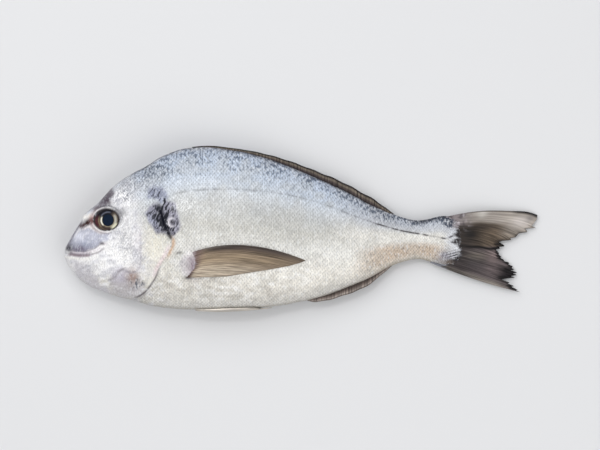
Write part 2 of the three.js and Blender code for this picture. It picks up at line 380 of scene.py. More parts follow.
def scale_places(x, turn):
    """Where each point lies among the scales: rows from the snout, and rows from the lateral line."""
    stations = np.linspace(0.5, BODY_LENGTH, 160)
    turns = np.linspace(-np.pi / 2, np.pi / 2, 121)
    grid = hull(np.repeat(stations[:, None], len(turns), 1), np.repeat(turns[None], len(stations), 0))
    steps = np.linalg.norm(np.diff(grid, axis=1), axis=2)
    arcs = np.concatenate([np.zeros((len(stations), 1)), np.cumsum(steps, axis=1)], axis=1)
    line_turn = np.array([np.interp(lateral_line(s), row[:, 1], turns) for s, row in zip(stations, grid)])
    arcs -= np.array([[np.interp(t, turns, row)] for t, row in zip(line_turn, arcs)])
    folded = np.abs((turn + np.pi / 2) % (2 * np.pi) - np.pi) - np.pi / 2
    i = np.clip((x - stations[0]) / (stations[1] - stations[0]), 0, len(stations) - 1.001)
    j = np.clip((-folded + np.pi / 2) / (turns[1] - turns[0]), 0, len(turns) - 1.001)
    i0, j0 = i.astype(int), j.astype(int)
    fi, fj = i - i0, j - j0
    arc = ((arcs[i0, j0] * (1 - fj) + arcs[i0, j0 + 1] * fj) * (1 - fi)
           + (arcs[i0 + 1, j0] * (1 - fj) + arcs[i0 + 1, j0 + 1] * fj) * fi)
    run = np.linspace(0, BODY_LENGTH, 400)
    rows = np.interp(x, run, np.cumsum(1 / curve(SCALE_LENGTH)(run)) * (run[1] - run[0]))
    return rows, arc / curve(SCALE_WIDTH)(x)


def scale_height(u, v):
    """Height of the scales' surface from 0 to 1: each rises to its rounded rear edge, over the next one."""
    def to_edge(a, b):
        across = b - np.round(b)
        edge = np.sqrt(SCALE_REACH**2 - across**2)
        return np.ceil(a - edge) + edge - a
    gap = np.minimum(to_edge(u, v), to_edge(u - 0.5, v - 0.5))
    return np.clip(1 - gap / 0.7, 0, 1) * smooth(0, 0.12, gap)


# ---- The skin ----------------------------------------------------------------------------------------

AROUND = 60
ALONG = 96


def ring_place(share):
    """Place along the body of a ring, closer together at the snout and on the head."""
    blunt = 0.03
    run = 0.6 * (np.sqrt(share**2 + blunt**2) - blunt) + 0.4 * share**2
    return BODY_LENGTH * run / (0.6 * (np.sqrt(1 + blunt**2) - blunt) + 0.4)


def even_turns(x, count):
    """Turns that space points evenly round the body at x, and closer on the left flank, which is on top."""
    fine = np.linspace(-np.pi, np.pi, 721)
    steps = np.linalg.norm(np.diff(hull(np.full(721, x), fine), axis=0), axis=1)
    steps *= 1 + 0.4 * np.cos((fine[1:] + fine[:-1]) / 2)
    run = np.concatenate([[0], np.cumsum(steps)])
    return np.interp(np.arange(count) / count * run[-1], run, fine)


def add_body():
    """A sphere with its poles at snout and tail, each ring drawn out to the fish's section there."""
    deselect()
    lengthways = (0, -math.pi / 2, 0)
    bpy.ops.mesh.primitive_uv_sphere_add(segments=AROUND, ring_count=ALONG, radius=1, rotation=lengthways)
    bpy.ops.object.transform_apply(location=False, rotation=True, scale=False)
    body = bpy.context.object
    ball = np.array([v.co for v in body.data.vertices])
    ring = np.round(np.arccos(np.clip(-ball[:, 0], -1, 1)) / np.pi * ALONG).astype(int)
    turned = (np.arctan2(ball[:, 1], ball[:, 2]) + np.pi) / (2 * np.pi)
    spoke = np.round(turned * AROUND).astype(int) % AROUND
    points = np.zeros(ball.shape)
    for k in range(ALONG + 1):
        x = float(ring_place(k / ALONG))
        mine = ring == k
        points[mine] = hull(np.full(mine.sum(), x), even_turns(max(x, 0.05), AROUND)[spoke[mine]])
    poles = (ring == 0) | (ring == ALONG)
    ends = np.where(ring[poles] == 0, 0.0, BODY_LENGTH)
    points[poles] = np.stack([ends, (back_line(ends) + belly_line(ends)) / 2, middle_plane(ends)], axis=1)
    write(body, points)
    finish_modifier(body, "SUBSURF", levels=2, render_levels=2)
    return body


def from_eye(x, y):
    """Distance from the eye's middle, stretched so that its oval rim is at 7 millimetres all round."""
    return 7 * np.hypot((x - EYE_AT[0]) / EYE_HALF[0], (y - EYE_AT[1]) / EYE_HALF[1])


def from_pad(x, y):
    """Distance from the middle of the pad that the pectoral fin grows from, as a share of its size."""
    return np.hypot((x - 73.2) / 6.2, (y + 15.6) / 8.4)


def scaled_share(x, y):
    """How much of the skin is scaled: all of the body, a little of the cheek and none of the snout."""
    gap, side, _ = beside(x, y, GILL_EDGE)
    behind = smooth(-0.6, 0.6, np.where(side > 0, gap, -gap))
    nape = smooth(-2, 2, (x - 27.5) * 0.72 + (y - 29.5) * 0.7)
    cheek = smooth(30, 37, x) * smooth(-19, -14, y) * 0.5
    return np.maximum.reduce([np.where(x > 66, 1.0, behind), nape, cheek])


def sculpt(x, y, scaled, u, v):
    """Height of everything that stands out of the smooth body, in millimetres."""
    eye = from_eye(x, y)
    height = -1.1 * (1 - smooth(5.9, 7.6, eye)) + 0.25 * bump(eye - 8.2, 0.9)
    height += 0.5 * oval(x, y, 11.5, 12.6, 1, 1, 2.0) + 0.35 * oval(x, y, 14.9, 12.6, 1, 1, 1.6)
    height -= 0.7 * bump(beside(x, y, NOSTRIL)[0], 0.9)

    wx, wy = wander(x, y, 0.3, 2.0)
    gap, side, along = beside(wx, wy, MOUTH)
    height -= 0.45 * bump(gap, 0.7) * (1 - smooth(0.7, 1, along))
    height += np.where(side > 0, 0.15, 0.25) * bump(gap - 1.6, 0.8) * (1 - smooth(0.65, 1, along))
    gap, side, _ = beside(wx, wy, UPPER_JAW)
    height += 0.15 * side * bump(gap - 0.7, 0.8)
    gap, side, along = beside(x, y, CHEEK_EDGE)
    height += (0.3 * bump(gap - 0.9, 0.9) * (side < 0) - 0.25 * bump(gap, 0.7)) * smooth(0, 0.15, along)
    height -= 0.25 * bump(beside(x, y, THROAT_FOLD)[0], 0.7)

    gap, side, along = beside(x, y, GILL_EDGE)
    ends = smooth(0, 0.14, along) * (1 - 0.7 * smooth(0.85, 1, along))
    front = side < 0
    lip = smooth(-0.15, 0.55, np.where(front, gap, -gap)) * np.exp(-np.where(front, gap, 0) / 10)
    height += ends * (0.95 * lip * (gap < 30) - 0.3 * bump(gap - 0.9, 0.9) * ~front)

    height += 1.0 * (1 - smooth(0.45, 1.05, from_pad(x, y)))
    height += 0.12 * bump(beside(x, y, LATERAL_LINE)[0], 0.8)
    head = 1 - smooth(50, 66, x)
    height += 0.3 * grain(x, y, 21, 1) + 0.14 * grain(x, y, 8, 2)
    height += (0.04 + 0.1 * head) * grain(x * 0.7, y, 2.6, 3)
    height += (0.02 + 0.06 * head) * grain(x * 0.8, y, 1.3, 4)
    return height + 0.12 * scaled * scale_height(u, v)


def body_tones(x, y, level):
    """Blue-grey back over silver flank and warm white belly, with painted shade where the skin turns under
    at the back and at the belly, and along the lower edge towards the tail.
    """
    # The lowest band and the top two are painted shade, where the skin turns under at the belly and at the
    # back.
    bands = [(-1, (164, 158, 148)), (-0.95, (207, 204, 198)), (-0.75, (221, 217, 209)),
             (-0.5, (229, 226, 219)), (-0.2, (226, 225, 221)), (0.1, (196, 195, 190)),
             (0.35, (192, 194, 195)), (0.5, (200, 205, 211)), (0.68, (196, 205, 218)),
             (0.85, (196, 207, 224)), (0.95, (192, 202, 219)), (0.985, (142, 148, 162)),
             (1, (92, 92, 102))]
    levels = [at for at, _ in bands]
    tones = np.array([tint(*c) for _, c in bands])
    shift = level + 0.05 * grain(x, y, 12, 5) * (1 - np.abs(level))
    colour = np.stack([np.interp(shift, levels, tones[:, k]) for k in range(3)], axis=1)
    colour = lay(colour, smooth(150, 178, x) * bump(level - 0.18, 0.3) * 0.7, (232, 229, 223))
    warm = smooth(165, 188, x) * smooth(232, 215, x) * smooth(0.05, -0.3, level)
    colour = lay(colour, warm * (0.9 - 0.5 * smooth(-0.6, -0.9, level)), (192, 173, 154))
    # Painted shade along the lower edge towards the tail, where the body turns under.
    colour = lay(colour, smooth(165, 195, x) * smooth(-0.8, -0.97, level) * 0.5, (140, 133, 116))
    colour = lay(colour, smooth(-0.1, 0.5, grain(x * 0.8, y, 5, 17)) * 0.25, (186, 184, 178))
    ripple = grain(x * 0.5 + 0.25 * y, y, 1.8, 29)
    under = smooth(-0.05, -0.4, level) * smooth(175, 120, x) * smooth(-0.96, -0.8, level)
    colour = lay(colour, smooth(0.1, 0.7, ripple) * under * 0.55, (246, 245, 243))
    return lay(colour, smooth(-0.15, -0.7, ripple) * under * 0.4, (166, 160, 152))


def head_tones(colour, wx, wy, level):
    """Bright cheek and forehead, partly silver skin and partly painted highlights, grey snout, dark brow
    and the greyer chin and throat.
    """
    head = 1 - smooth(40, 56, wx + 0.25 * wy)
    ridge = smooth(0.84, 1.0, level + 0.04 * grain(wx, wy, 4, 19))
    colour = lay(colour, head * smooth(-26, -18, wy) * (0.9 - 0.5 * ridge), (232, 231, 232))
    # Bright patches on the forehead, the cheek and behind the gill cover: silver skin with painted
    # highlights laid on it.
    colour = dab(colour, wx, wy, [
        (33, 25, 1.6, 0.8, 6, 0.7, (244, 243, 245)),
        (42, 31, 1.7, 0.8, 7, 0.6, (228, 231, 238)),
        (31, -13, 1.3, 0.9, 10, 0.95, (255, 254, 253)),
        (53, -6, 0.9, 1.5, 9, 0.75, (234, 229, 214)),
        (43.5, -6, 0.35, 1.6, 8, 0.5, (236, 232, 240))])
    patchy = smooth(0.05, 0.6, grain(wx * 0.6, wy, 2.8, 16))
    colour = lay(colour, head * patchy * 0.5, (198, 198, 206))
    # Crumpled wet skin: its dark folds are painted shade, and its bright ones, laid at the end, are painted
    # highlights.
    crumple = grain(wx * 0.8 - 0.3 * wy, wy, 1.5, 30) * smooth(0.99, 0.86, np.abs(level))
    colour = lay(colour, head * smooth(-0.1, -0.7, crumple) * 0.22, (146, 146, 158))
    colour = lay(colour, within(wx, wy, CHIN_PATCH, 2.2) * 0.75, (190, 187, 194))
    colour = lay(colour, within(wx, wy, THROAT_PATCH, 2.2) * 0.8, (176, 172, 176))
    colour = dab(colour, wx, wy, [
        (33.5, -22.5, 1.3, 1.2, 4, 0.6, (188, 182, 198)),
        (40.6, -22.6, 1.0, 1.3, 3.4, 0.85, (156, 130, 118))])
    colour = lay(colour, within(wx, wy, SNOUT_PATCH, 0.9) * 0.95, (176, 178, 193))
    colour = lay(colour, within(wx, wy, SNOUT_PATCH, 0.9) * smooth(0, -6, wy) * 0.5, (140, 140, 156))
    # The first spot is a painted highlight on the snout; the other two are a blue-grey patch and a dark
    # purple band low on it.
    colour = dab(colour, wx, wy, [
        (8.5, 1.2, 1.2, 0.9, 3, 0.8, (226, 228, 240)),
        (13, -3.2, 1.6, 0.9, 2.6, 0.6, (146, 152, 172)),
        (9, -6.6, 3.6, 1, 1.5, 0.9, (98, 90, 108))])
    colour = lay(colour, within(wx + 0.6 * grain(wx, wy, 1.2, 23), wy, BROW_PATCH, 1.9), (108, 101, 110))
    colour = dab(colour, wx, wy, [
        (25.6, 21.4, 1.3, 1, 1.7, 0.8, (78, 64, 76)),
        (24.6, 27.2, 1.2, 1, 1.6, 0.5, (84, 68, 76)),
        (22.8, 19.6, 1.3, 1, 1.1, 0.6, (160, 156, 164))])
    colour = lay(colour, smooth(0.9, 1.0, level) * smooth(16, 6, wx) * 0.6, (110, 108, 118))
    # Painted highlights on the crumpled skin, kept off the brow, the throat and the front of the head.
    throat = within(wx, wy, THROAT_PATCH, 2.2)
    dull = np.maximum.reduce([within(wx, wy, BROW_PATCH, 2.5), 0.6 * throat, 0.6 * smooth(25, 16, wx)])
    return lay(colour, head * smooth(0.1, 0.7, crumple) * (1 - dull) * 0.5, (252, 251, 253))


def mouth_tones(colour, x, y):
    """The lilac upper lip over the dark line of the mouth, the pale lower lip and the black snout tip."""
    colour = stripe(colour, beside(x, y, MOUTH), [
        (1, 1.2, 1.3, (0.04, 0.14), (0.45, 0.7), 0.85, (146, 139, 150)),
        (0, 0, 0.95, (0.02, 0.12), (0.5, 0.72), 0.95, (138, 124, 132)),
        (0, 0, 0.45, (0.45, 0.6), (0.9, 1), 0.7, (150, 140, 148)),
        (-1, 1.9, 0.7, None, (0.4, 0.7), 0.8, (242, 240, 236)),
        (1, 1.6, 0.35, (0.12, 0.2), None, 0.8, (214, 204, 212))])
    colour = stripe(colour, beside(x, y, UPPER_JAW), [(0, 0, 0.5, None, None, 0.5, (112, 104, 120))])
    return dab(colour, x, y, [
        (22.6, -3.3, 1.5, 1, 0.95, 0.9, (62, 58, 68)),
        (22.5, -5.1, 1.6, 1, 0.9, 0.7, (252, 250, 250)),
        (2.0, -5.7, 1.2, 1, 2.2, 1, (30, 27, 36))])


def nose_tones(colour, x, y):
    """The snout's front edge darkened with painted shade, the pale rims of the nostrils and the brown
    hollows in them.
    """
    # Painted shade along the snout's front edge, with a pale line beside it.
    colour = stripe(colour, beside(x, y, SNOUT_EDGE), [
        (0, 0, 0.6, (0.1, 0.25), None, 0.8, (104, 100, 112)),
        (1, 1.3, 0.5, (0.15, 0.3), (0.5, 0.75), 0.7, (238, 236, 240))])
    colour = dab(colour, x, y, [
        (11.6, 12.4, 1, 1, 2.0, 0.85, (250, 247, 240)),
        (15, 12.4, 1, 1, 1.5, 0.8, (246, 238, 228)),
        (16.9, 10.2, 1.2, 1.7, 1.5, 0.9, (150, 106, 102))])
    colour = stripe(colour, beside(x, y, NOSTRIL_RIM), [(0, 0, 0.6, None, None, 0.8, (232, 226, 230))])
    colour = stripe(colour, beside(x, y, NOSTRIL), [(0, 0, 1.6, None, None, 1, (86, 62, 64))])
    hollow = np.hypot((x - 13.9) / 1.5 - (y - 9.3) * 0.2, y - 9.2)
    colour = lay(colour, bump(hollow, 1.7), (40, 18, 12))
    return dab(colour, x, y, [(9.8, 7.2, 1.1, 1, 0.9, 0.8, (58, 42, 52))])


def eye_rim_tones(colour, x, y):
    """The dark socket, its thin white rim above and below, and the skin's shadows round it."""
    away = from_eye(x, y)
    up, back = (y - EYE_AT[1]) / away, (x - EYE_AT[0]) / away
    ahead = np.clip(-0.3 * up - back, 0, 1)
    above = smooth(0.35, 0.75, up) * smooth(0.5, 0.1, back)
    below = smooth(-0.2, -0.6, up) * smooth(0.55, 0.2, back)
    behind = smooth(0.3, 0.7, back) * smooth(-0.5, 0.0, up)
    lid = np.clip(up * 1.3 + 0.4 * back, 0, 1)
    colour = lay(colour, bump(away - 8.6, 1.3) * ahead * 0.5, (150, 112, 112))
    colour = lay(colour, smooth(7.9, 7.3, away) * 0.95, (44, 36, 40))
    colour = lay(colour, bump(away - 8.05, 0.36) * np.maximum(above * 0.85, below), (244, 240, 240))
    colour = lay(colour, bump(away - 8.9, 0.55) * lid * 0.85, (70, 66, 76))
    colour = lay(colour, bump(away - 8.8, 0.5) * below * 0.5, (140, 134, 142))
    colour = lay(colour, bump(away - 8.0, 0.5) * behind * 0.7, (92, 88, 92))
    return dab(colour, x, y, [(34.6, 15, 1.4, 1.1, 2.1, 0.7, (128, 128, 132))])


def gill_tones(colour, x, y):
    """The edges of the cheek and the gill cover, black, orange, pink and grey in turn going down, and the
    ringed spot in the blotch."""
    colour = stripe(colour, beside(x, y, CHEEK_EDGE), [(0, 0, 0.7, (0, 0.15), None, 0.5, (172, 168, 178))])
    colour = stripe(colour, beside(x, y, THROAT_FOLD), [(0, 0, 0.6, None, None, 0.5, (118, 110, 114))])
    colour = stripe(colour, beside(x, y, GILL_EDGE), [
        (1, 0.7, 1.1, (0.28, 0.33), (0.42, 0.5), 0.9, (206, 174, 146)),
        (-1, 1.2, 1.3, (0.34, 0.42), (0.6, 0.7), 0.75, (222, 204, 206)),
        (0, 0, 0.5, (0.5, 0.66), (0.85, 0.93), 0.85, (96, 88, 92)),
        (0, 0, 1.3, (0, 0.05), (0.3, 0.34), 0.9, (16, 16, 26))])
    spot = np.hypot(x - SPOT_AT[0], y - SPOT_AT[1])
    ring = bump(spot - 2.6, 0.7) * np.clip(0.5 - (x - SPOT_AT[0]) / 4, 0, 1)
    colour = lay(colour, ring, (232, 228, 234))
    return lay(colour, bump(spot, 1.5) * 0.8, (40, 32, 36))


ROOT_ABOVE = (138, 129, 132)  # the tail's root on the back's side


def stem_border(x, y):
    """Place along the body where the scaled skin gives way to the tail fin's dark root."""
    ragged = 1.2 * grain(x, y, 1.8, 10) + 2.0 * grain(x * 0.25, y, 0.9, 24)
    return 231.2 + 1.8 * smooth(-4, -6, y) - 8 * smooth(-9.5, -15, y) + ragged


def stem_streaks(x, y):
    """Dark slanting streaks between the last rows of scales, low on the tail's root."""
    rows = np.sin(2 * np.pi * (y - 0.28 * x) / 1.6 + 0.6 * grain(x, y, 4, 20))
    zone = 1.25 * oval(x, y, 230.5, -11.2, 1.25, 0.85, 4.2) * (0.85 + 0.35 * grain(x, y, 2.4, 21))
    return smooth(-0.1, 0.5, rows) * np.clip(zone, 0, 1)


def tail_stem_tones(colour, x, y, level):
    """The skin darkens into the tail fin along an uneven border, further forward on the belly side, with
    painted shade along its top and bottom edges near the tail.
    """
    border = stem_border(x, y)
    colour = lay(colour, smooth(border - 10, border - 2, x) * 0.6, (204, 208, 219))
    colour = lay(colour, smooth(150, 185, x) * smooth(0.25, 0.6, level) * 0.7, (178, 180, 187))
    # Painted shade along the top edge near the tail, where the body turns away.
    colour = lay(colour, smooth(0.76, 0.97, level) * smooth(196, 212, x) * 0.7, (70, 68, 76))
    colour = dab(colour, x, y, [(224.5, -10.6, 1.3, 1, 3.2, 0.75, (122, 121, 142))])
    colour = lay(colour, smooth(border - 2.2, border + 1.4, x) * smooth(9, 6, y), (46, 41, 42))
    colour = lay(colour, smooth(223, 232, x) * smooth(4, 8, y) * 0.9, ROOT_ABOVE)
    colour = lay(colour, stem_streaks(x, y), (30, 30, 42))
    # Painted shade along the lower edge near the tail, where the body turns under.
    below = smooth(212, 226, x) * smooth(-0.5, -0.9, level) * smooth(232, 226, x)
    return lay(colour, below * 0.7, (120, 109, 101))


def blotch_tones(colour, wx, wy):
    """The grey ground of the blotch behind the gill cover, darkest down its middle."""
    colour = lay(colour, within(wx, wy, BLOTCH_CAP, 1.6) * 0.85, (148, 153, 175))
    blotch = within(wx, wy, BLOTCH, 1.3)
    colour = lay(colour, blotch * 0.85, (140, 138, 156))
    colour = lay(colour, blotch * oval(wx, wy, 52, 9, 0.9, 1, 6) * 0.7, (164, 169, 190))
    core = oval(wx + 0.34 * (wy - 11), wy, 58.4, 11, 0.42, 1.2, 7.5)
    return lay(colour, core * blotch * 0.95, (30, 32, 48))


def armpit_tones(colour, x, y, wx, wy):
    """The pale pad that the pectoral fin grows from, with its lilac root and painted shade in two creases
    at its edges.
    """
    colour = lay(colour, (1 - smooth(0.5, 1.0, from_pad(wx, wy))) * 0.7, (214, 208, 212))
    colour = dab(colour, wx, wy, [(76.5, -16.5, 1.1, 2.1, 3.2, 0.9, (136, 118, 130))])
    # Painted shade in the creases below the pad and above its front.
    return dab(colour, x, y, [
        (73, -23.4, 2.6, 1, 0.9, 0.9, (70, 56, 56)),
        (68.2, -8.6, 2.4, 1, 0.7, 0.9, (84, 80, 76))])


def lateral_line_tones(colour, x, y):
    """The lateral line: faint dashes that grow darker towards the tail."""
    gap, _, along = beside(x, y, LATERAL_LINE)
    broken = 0.3 + 0.7 * smooth(-0.35, 0.25, grain(x, y * 0, 2.6, 9))
    faint = 0.4 + 0.6 * smooth(165, 180, x)
    width = 0.62 - 0.14 * smooth(150, 190, x)
    return lay(colour, bump(gap, width) * faint * broken * smooth(0, 0.06, along), (46, 41, 44))


def paint_skin(x, y, level):
    """The colours that lie under the scales' own pattern."""
    wx, wy = wander(x, y, 0.7, 2.4)
    colour = body_tones(x, y, level)
    colour = head_tones(colour, wx, wy, level)
    colour = mouth_tones(colour, x + 0.3 * (wx - x), y + 0.3 * (wy - y))
    colour = nose_tones(colour, x + 0.4 * (wx - x), y + 0.4 * (wy - y))
    colour = eye_rim_tones(colour, x, y)
    colour = blotch_tones(colour, wx, wy)
    colour = gill_tones(colour, x, y)
    colour = armpit_tones(colour, x, y, wx, wy)
    colour = tail_stem_tones(colour, x, y, level)
    return lateral_line_tones(colour, x, y)


def speckled_share(x, y, level):
    """How thickly the skin is speckled with dark: most on the back, the nape and behind the head."""
    spots = [(43, 27, 1.7, 1, 8, 0.22), (40, 12, 1.4, 1.2, 9, 0.3), (36, -2, 1, 1, 16, 0.24),
             (44, -27, 1.6, 1, 4.5, 0.8), (72, -3, 1, 1, 4, 0.3), (50, 42, 1.6, 1, 7, 0.3)]
    share = sum(strength * oval(x, y, *spot) for *spot, strength in spots)
    share += 0.34 * smooth(219, 228, x) * smooth(-6, -1, y) + 0.3 * smooth(222, 228, x) * smooth(3, 8, y)
    share += 0.5 * smooth(165, 180, x) * smooth(0.1, -0.3, level) * smooth(-0.95, -0.8, level)
    ridge = 0.14 * smooth(0.75, 0.95, level) * smooth(30, 40, x)
    runs = 0.3 * smooth(24, 36, x) + 0.3 * smooth(44, 62, x) + 0.15 * smooth(150, 185, x)
    share += smooth(0.32, 0.85, level) * (ridge + runs + 0.14 * grain(x, y, 9, 18))
    clear = (1 - 0.7 * oval(x, y, 33, 24, 1.4, 0.8, 6)) * (1 - 0.7 * smooth(227, 232, x))
    return np.clip(share * clear, 0, 1)


def creased_share(x, y):
    """How strongly the skin shows its fine creases, darkened with painted shade: most on the nape, and
    lightly over the cheek, under the blotch, on the jaw and round the pectoral fin's root."""
    nape = 1.2 * bump(np.hypot((x - 42) / 1.8, (y - 30) / 0.95 - (x - 42) * 0.4), 11)
    spots = [(40, -1, 1.2, 1.5, 14, 0.75), (52.5, 1, 1.3, 1.1, 5, 0.65), (22, -18, 1.8, 0.9, 8, 0.6),
             (68, -12, 1.1, 1.4, 6, 0.5)]
    most = np.maximum.reduce([nape] + [strength * oval(x, y, *spot) for *spot, strength in spots])
    return np.clip(most * (0.75 + 0.5 * grain(x, y, 6, 22)), 0, 1)


def bruised_share(x, y):
    """How dark the blotch behind the gill cover is, before it breaks into strokes."""
    wx, wy = wander(x, y, 0.7, 2.4)
    core = bump(np.hypot((wx - 59.5 + 0.28 * (wy - 11)) / 0.55, (wy - 11.5) / 1.15), 8.5)
    blotch = within(wx, wy, BLOTCH, 1.8) * (0.62 + 0.38 * core) + within(wx, wy, BLOTCH_CAP, 1.6) * 0.62
    spot = np.hypot(x - SPOT_AT[0], y - SPOT_AT[1])
    ring = bump(spot - 2.3, 0.8) * np.clip(0.7 - (x - SPOT_AT[0]) / 5, 0, 1)
    return np.clip(blotch * (1 - 0.9 * ring), 0, 1)


def add_skin():
    body = add_body()
    points = read(body)
    turn = turn_of(points)
    x, y = points[:, 0], points[:, 1]
    level = np.sin(turn)
    u, v = scale_places(x, turn)
    scaled = scaled_share(x, y)
    points += facing(body) * sculpt(x, y, scaled, u, v)[:, None]
    points[:, 2] = np.maximum(points[:, 2], 0.02 * np.minimum(points[:, 2], 0) + 0.02)
    write(body, points)
    store(body, "paint", paint_skin(x, y, level))
    store(body, "scaled", scaled)
    store(body, "speckled", speckled_share(x, y, level))
    store(body, "bruised", bruised_share(x, y))
    store(body, "creased", creased_share(x, y))
    store_map(body, "scales", u, v)
    finish_piece(body, "skin", skin_finish())
    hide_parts("sea_bream")


# ---- Eyes --------------------------------------------------------------------------------------------


def paint_eye(dx, dy):
    """Blue-black pupil, thin uneven gold ring, and an iris that is nearly black above and brown ahead.
    dx and dy are measured in millimetres from the pupil's middle."""
    away = np.hypot(dx, dy)
    turn = np.arctan2(dy, dx)

    def towards(degrees, width):
        gap = np.abs((turn - math.radians(degrees) + np.pi) % (2 * np.pi) - np.pi)
        return 1 - smooth(width * 0.5, width, np.degrees(gap))

    colour = coat(len(dx), (92, 80, 70))
    colour = lay(colour, bump(away - 5.6, 0.28) * towards(205, 80) * 0.7, (150, 132, 104))
    colour = lay(colour, smooth(5.6, 6.6, away) * towards(178, 50), (80, 46, 52))
    colour = lay(colour, towards(-8, 62) * bump(away - 4.6, 0.7) * 0.9, (184, 182, 172))
    colour = lay(colour, towards(-46, 34) * bump(away - 5.4, 1.0) * 0.95, (230, 228, 200))
    colour = lay(colour, towards(-100, 50) * bump(away - 5.3, 0.8) * 0.85, (50, 42, 46))
    colour = lay(colour, towards(10, 75) * smooth(5.6, 6.2, away) * 0.9, (48, 44, 48))
    colour = lay(colour, towards(108, 72) * 0.95, (20, 21, 30))
    colour = lay(colour, towards(112, 50) * bump(away - 4.7, 0.4) * 0.6, (120, 124, 140))
    colour = lay(colour, bump(away - 3.8, 0.22) * (1 - towards(95, 80)) * 0.7, (176, 166, 142))
    colour = lay(colour, bump(away - 4.0, 0.45) * towards(190, 46), (255, 252, 236))
    colour = lay(colour, 1 - smooth(3.35, 3.6, away), (2, 22, 44))
    return lay(colour, bump(away - 3.4, 0.35) * 0.6, (2, 6, 16))


def add_eye(name, side):
    """A shallow oval dome set in the socket."""
    deselect()
    bpy.ops.mesh.primitive_uv_sphere_add(segments=96, ring_count=96, radius=1)
    eye = bpy.context.object
    ball = np.array([v.co for v in eye.data.vertices])
    centre = on_flank(np.array([EYE_AT[0]]), np.array([EYE_AT[1]]), side)[0]
    ahead = on_flank(np.array([EYE_AT[0] + 3]), np.array([EYE_AT[1]]), side)[0] - centre
    above = on_flank(np.array([EYE_AT[0]]), np.array([EYE_AT[1] + 3]), side)[0] - centre
    outward = np.cross(ahead, above)
    outward *= np.sign(outward[2]) * side / np.linalg.norm(outward)
    east = np.array([1.0, 0, 0]) - outward * outward[0]
    east /= np.linalg.norm(east)
    north = np.cross(outward, east) * side
    bulge = np.where(ball[:, 2] > 0, 1.7, 1.6)
    spread = ball[:, :1] * EYE_HALF[0] * east + ball[:, 1:2] * EYE_HALF[1] * north
    points = centre - 0.9 * outward + spread + bulge[:, None] * ball[:, 2:] * outward
    write(eye, points)
    if side < 0:
        eye.data.flip_normals()
    store(eye, "paint", paint_eye(points[:, 0] - EYE_AT[0] - 1.0, points[:, 1] - EYE_AT[1] + 0.3))
    finish_piece(eye, name, eye_finish())


# ---- Fins --------------------------------------------------------------------------------------------


def add_fin(name, rows, columns, sheet, half, paint, ray_count, plain=None):
    """A grid shaped to a fin's middle surface, given a thickness that its rays ridge on both faces.
    u runs from 0 at the root to 1 at the edge, and v from 0 to 1 across the rays. plain is 1 where the fin
    shows no streaks."""
    deselect()
    bpy.ops.mesh.primitive_grid_add(x_subdivisions=rows, y_subdivisions=columns, size=1)
    fin = bpy.context.object
    flat = np.array([v.co for v in fin.data.vertices])
    u, v = flat[:, 0] + 0.5, flat[:, 1] + 0.5
    write(fin, sheet(u, v))
    store(fin, "paint", paint(u, v))
    ray = 0.5 + 0.5 * np.cos(2 * np.pi * ray_count * v)
    split = 0.5 + 0.5 * np.cos(4 * np.pi * ray_count * v)
    ray = ray + (split - ray) * smooth(0.35, 0.6, u)
    store(fin, "ray", ray)
    store(fin, "plain", plain(u, v) if plain else np.zeros(len(u)))
    root_to_edge = np.linalg.norm(sheet(np.ones(1), np.full(1, 0.5)) - sheet(np.zeros(1), np.full(1, 0.5)))
    breadth = np.linalg.norm(sheet(np.full(1, 0.6), np.ones(1)) - sheet(np.full(1, 0.6), np.zeros(1)))
    store_map(fin, "rays", u * root_to_edge / 10, v * breadth / 2.2)
    thickness = 2 * half(u, v) * (0.72 + 0.28 * ray)
    group = fin.vertex_groups.new(name="thickness")
    most = float(thickness.max())
    for k, share in enumerate(thickness / most):
        group.add([k], float(share), "REPLACE")
    finish_modifier(fin, "SOLIDIFY", thickness=most * MM, offset=0, vertex_group="thickness",
                    use_even_offset=False, use_rim=True)
    finish_piece(fin, name, fin_finish())


def between(start, bend, end, u):
    """A curve from start to end, drawn towards bend."""
    u = u[:, None]
    return start * (1 - u) ** 2 + bend * 2 * u * (1 - u) + end * u**2


def read_path(points, v):
    """Points at shares v along a line of straight stretches, with the shares given in the first column."""
    rows = np.array(points, float)
    return np.stack([np.interp(v, rows[:, 0], rows[:, k]) for k in range(1, rows.shape[1])], axis=1)


TAIL_EDGE = [
    (0, 279.7, 12.8), (0.03, 279.4, 10.4), (0.06, 277.2, 7.6), (0.08, 276.0, 6.4),
    (0.095, 278.6, 5.6), (0.105, 272.6, 5.0), (0.135, 273.8, 3.1), (0.15, 268.6, 2.4),
    (0.2, 266.6, 0.1), (0.22, 263.6, -0.3), (0.245, 264.0, -1.4), (0.3, 258.6, -1.9),
    (0.33, 256.0, -3.0), (0.36, 260.4, -5.0), (0.375, 255.6, -5.6), (0.395, 257.4, -6.3),
    (0.42, 254.6, -7.1), (0.47, 256.8, -8.9), (0.5, 256.6, -10.3), (0.52, 258.4, -11.2),
    (0.545, 257.4, -12.2), (0.57, 260.0, -13.4), (0.595, 259.2, -14.0), (0.625, 262.6, -14.9),
    (0.645, 261.8, -15.8), (0.665, 264.4, -16.8), (0.69, 263.4, -18.0), (0.705, 265.2, -18.8),
    (0.718, 261.6, -19.5), (0.74, 266.8, -20.7), (0.755, 262.4, -21.3), (0.775, 266.2, -22.1),
    (0.79, 262.0, -22.8), (0.81, 265.2, -23.6), (0.83, 259.2, -24.2), (0.85, 256.6, -24.9),
    (0.88, 262.0, -26.6), (0.89, 260.6, -26.8), (0.92, 264.6, -28.4), (0.93, 262.8, -28.7),
    (0.96, 266.8, -30.4), (0.97, 265.6, -30.6), (1, 268.3, -31.8)]
TAIL_ROOT_X = 219.0


